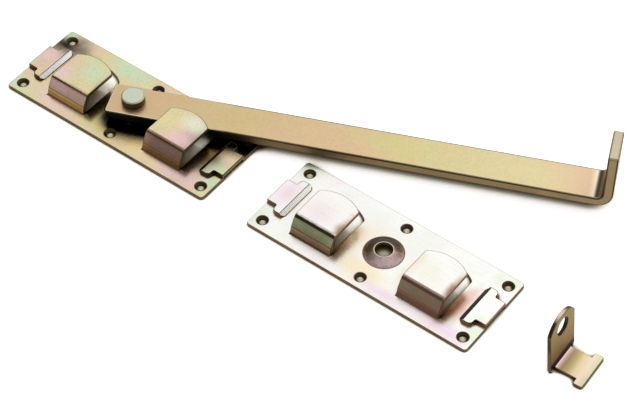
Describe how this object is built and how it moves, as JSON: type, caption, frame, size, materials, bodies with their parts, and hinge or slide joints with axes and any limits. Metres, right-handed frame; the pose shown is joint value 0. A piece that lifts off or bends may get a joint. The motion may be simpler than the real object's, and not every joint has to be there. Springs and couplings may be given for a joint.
{
  "type": "kick over gate latch",
  "caption": "Kick-over gate latch: two pressed hook plates, a pivoted flat lever that swings over and drops into their hooks, and a T-tongue padlock bracket.",
  "frame": {"origin": "where the lever's pivot axis meets the back of the lever plate", "axes": "+X along the plates towards the keep plate, +Z away from the wall, +Y up the gate as it is fitted"},
  "size_m": [0.3934, 0.1528, 0.0453],
  "materials": {
    "lever_plate": "yellow passivated zinc, pale and iridescent",
    "pivot_rivet": "yellow passivated zinc, pale",
    "lever": "yellow passivated zinc on rolled bar, golden",
    "keep_plate": "yellow passivated zinc, pale and iridescent",
    "tongue_bracket": "yellow passivated zinc, golden"
  },
  "bodies": {
    "lever_plate": {"lever_plate": "lever_plate", "pivot_rivet": "pivot_rivet"},
    "lever": {"lever": "lever"},
    "keep_plate": {"keep_plate": "keep_plate"},
    "tongue_bracket": {"tongue_bracket": "tongue_bracket"}
  },
  "joints": [
    {"name": "lever_swing", "type": "hinge", "parent": "lever_plate", "child": "lever", "pos_m": [0, 0, 0], "axis": [0, 0, 1], "range_deg": [-23.7, 158.9]},
    {"name": "keep_plate_lift", "type": "slide", "parent": "lever_plate", "child": "keep_plate", "axis": [0, 0, 1], "range_m": [0, 0.06]},
    {"name": "bracket_lift", "type": "slide", "parent": "lever_plate", "child": "tongue_bracket", "axis": [0, 0, 1], "range_m": [0, 0.06]}
  ]
}
